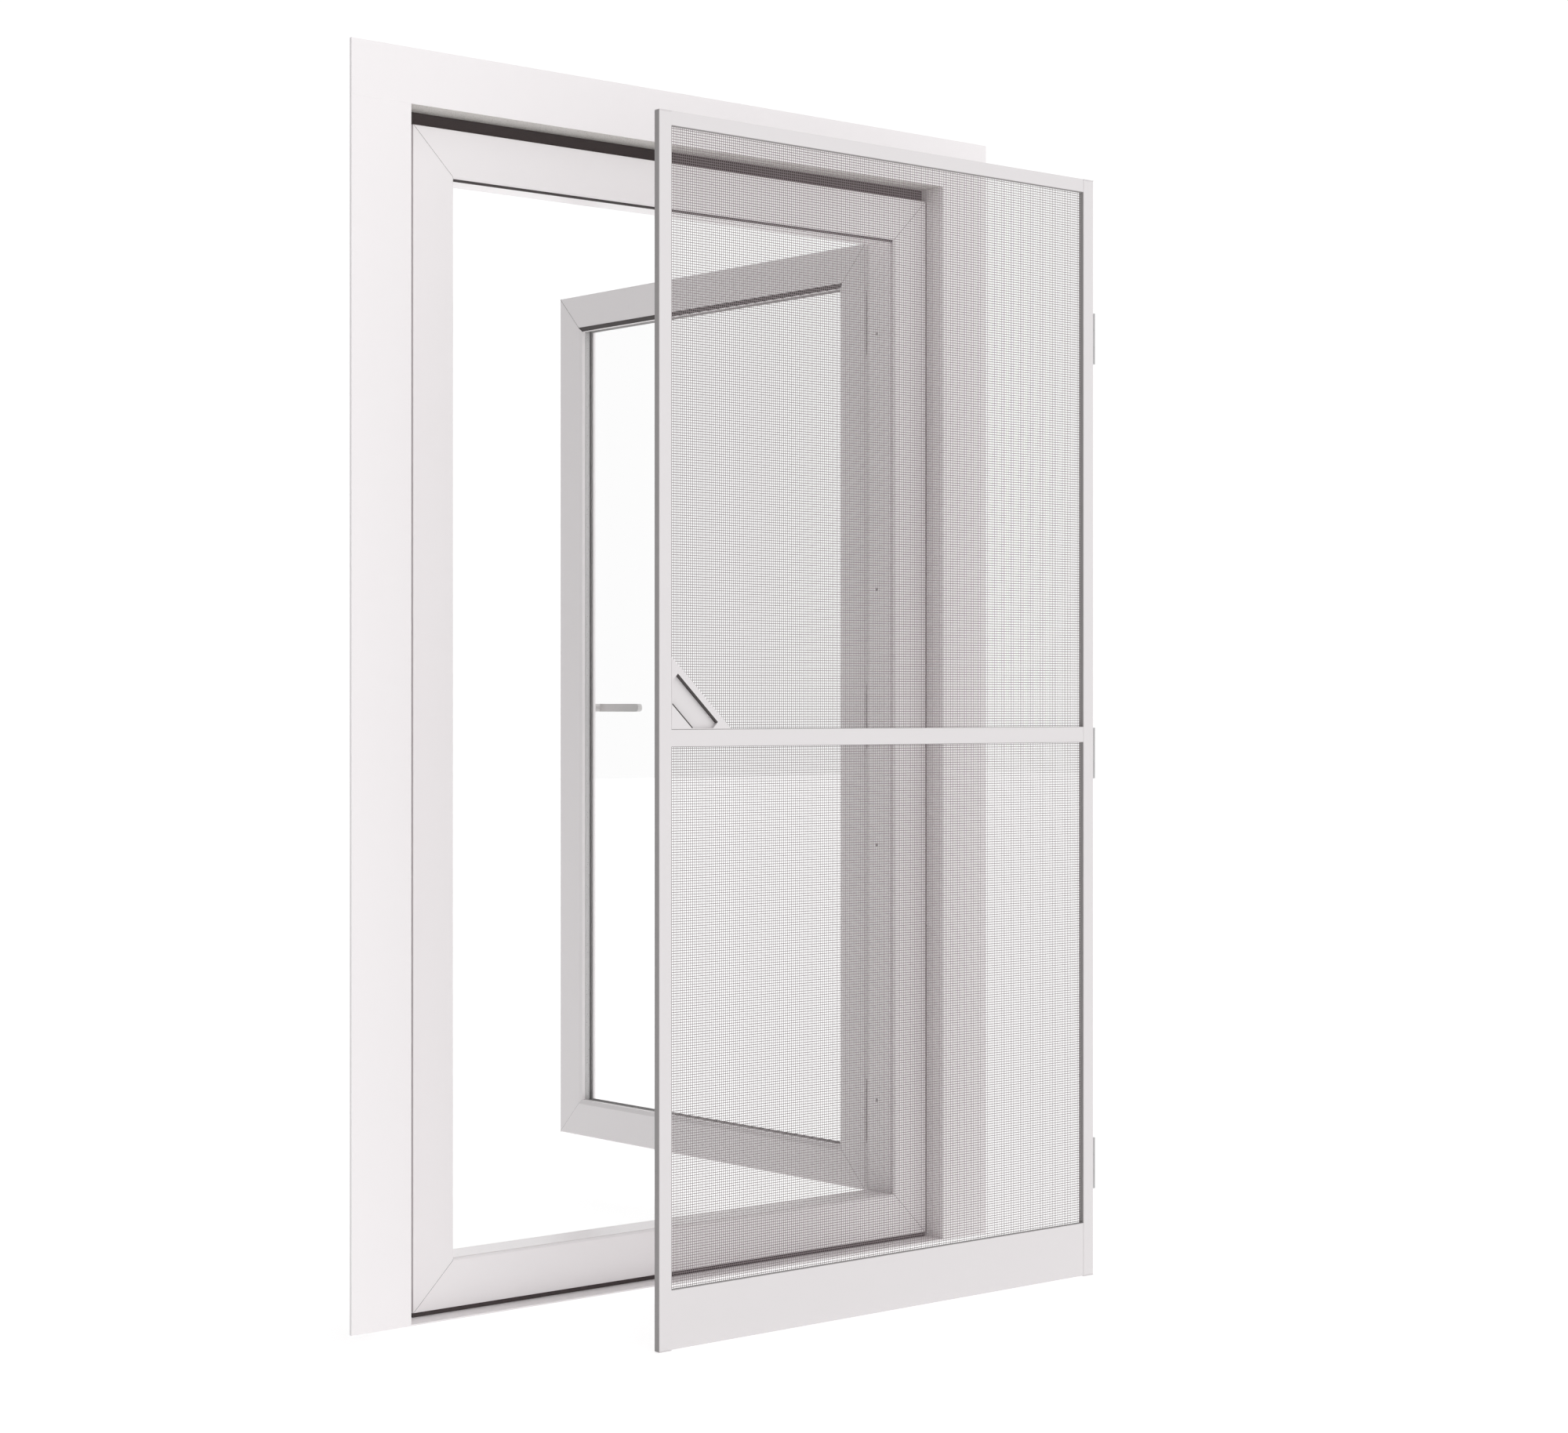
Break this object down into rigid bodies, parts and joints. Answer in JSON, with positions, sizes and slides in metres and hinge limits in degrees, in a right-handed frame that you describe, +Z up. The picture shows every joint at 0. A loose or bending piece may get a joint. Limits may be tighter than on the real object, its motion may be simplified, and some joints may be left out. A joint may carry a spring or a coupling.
{
  "type": "inward-opening window with insect screen",
  "caption": "Tall white casement window opening inward on hinges, with a lever handle, shoot bolts, painted surround and a lift-off insect-screen door.",
  "frame": {"origin": "on the sill plate's underside, below the middle of the clear opening, in the plane of the fixed frame's outer face", "axes": "+Z up, +Y into the room, +X towards the hinge side"},
  "size_m": [1.463, 1.54, 2.173],
  "materials": {
    "casing_paint": "satin white paint",
    "render": "fine textured render",
    "sill": "white powder coat",
    "joint_foam": "matt dark foam",
    "frame_profile": "smooth white extruded plastic",
    "sash_profile": "smooth white extruded plastic",
    "galvanised": "zinc",
    "gasket": "matt dark rubber",
    "pale_gasket": "matt light grey rubber",
    "hardware": "satin zinc",
    "fasteners": "bright steel",
    "glass": "clear float glass",
    "spacer": "mill finish",
    "handle_coat": "satin light grey coat",
    "screen_profile": "white powder coat",
    "screen_plastic": "white moulded plastic",
    "screen_dark": "matt dark grey",
    "net": "woven coated glass fibre",
    "screen_hinge": "light grey moulded plastic"
  },
  "bodies": {
    "frame": {"casing_left": "casing_paint", "casing_right": "casing_paint", "casing_head": "casing_paint", "soffit_liner": "render", "sill_plate": "sill", "seal_left": "joint_foam", "seal_right": "joint_foam", "seal_head": "joint_foam", "seal_bottom": "joint_foam", "frame_jamb_left": "frame_profile", "frame_jamb_right": "frame_profile", "frame_head": "frame_profile", "frame_bottom": "frame_profile", "frame_steel": "galvanised", "frame_rebate_seal": "gasket", "head_drip_seal": "gasket", "hinge_frame_brackets": "hardware", "hinge_pins": "fasteners", "bolt_keepers": "hardware", "frame_screws": "fasteners"},
    "sash": {"hinge_sash_leaves": "hardware", "hinge_screws": "fasteners", "sash_stile_hinge": "sash_profile", "sash_stile_handle": "sash_profile", "sash_rail_top": "sash_profile", "sash_rail_bottom": "sash_profile", "sash_steel": "galvanised", "pane_outer": "glass", "pane_inner": "glass", "pane_spacer": "spacer", "setting_blocks": "gasket", "glazing_gaskets": "pale_gasket", "bead_hinge": "sash_profile", "bead_handle": "sash_profile", "bead_top": "sash_profile", "bead_bottom": "sash_profile", "gear_case": "hardware", "handle_rose": "handle_coat", "rose_screws": "fasteners"},
    "handle": {"handle_spindle": "hardware", "handle_lever": "handle_coat", "handle_pinion": "hardware"},
    "upper_bolt": {"bolt_rod_upper": "hardware"},
    "lower_bolt": {"bolt_rod_lower": "hardware"},
    "screen_seat": {"screen_hinge_seats": "screen_hinge", "screen_hinge_pins": "fasteners"},
    "screen_door": {"screen_stile_free": "screen_profile", "screen_stile_hinge": "screen_profile", "screen_rail_top": "screen_profile", "screen_rail_mid": "screen_profile", "screen_kick_plate": "screen_profile", "screen_corner_keys": "screen_dark", "screen_end_caps": "screen_plastic", "screen_edge_strip": "screen_dark", "screen_splines": "screen_dark", "net_upper": "net", "net_lower": "net", "grip_front": "screen_plastic", "grip_back": "screen_plastic", "screen_hinge_leaves": "screen_hinge"}
  },
  "joints": [
    {"name": "sash_swing", "type": "hinge", "parent": "frame", "child": "sash", "pos_m": [0.538, 0.087, 1.0215], "axis": [0, 0, 1], "range_deg": [-8, 90.6]},
    {"name": "handle_turn", "type": "hinge", "parent": "sash", "child": "handle", "pos_m": [0.46174, 1.11285, 1.039], "axis": [0.9999, -0.0105, 0], "range_deg": [0, 90]},
    {"name": "upper_bolt_slide", "type": "slide", "parent": "sash", "child": "upper_bolt", "axis": [0, 0, 1], "range_m": [0, 0.0189]},
    {"name": "lower_bolt_slide", "type": "slide", "parent": "sash", "child": "lower_bolt", "axis": [0, 0, -1], "range_m": [0, 0.0189]},
    {"name": "screen_seat", "type": "slide", "parent": "frame", "child": "screen_seat", "axis": [-0.35, 0.9342, 0.069], "range_m": [0, 0.4057]},
    {"name": "screen_swing", "type": "hinge", "parent": "screen_seat", "child": "screen_door", "pos_m": [0.6605, -0.3909, 1], "axis": [0, 0, 1], "range_deg": [0, 95]}
  ],
  "couplings": [
    {"joint": "upper_bolt_slide", "follows": "handle_turn", "m_per_rad": 0.012},
    {"joint": "lower_bolt_slide", "follows": "handle_turn", "m_per_rad": 0.012}
  ]
}
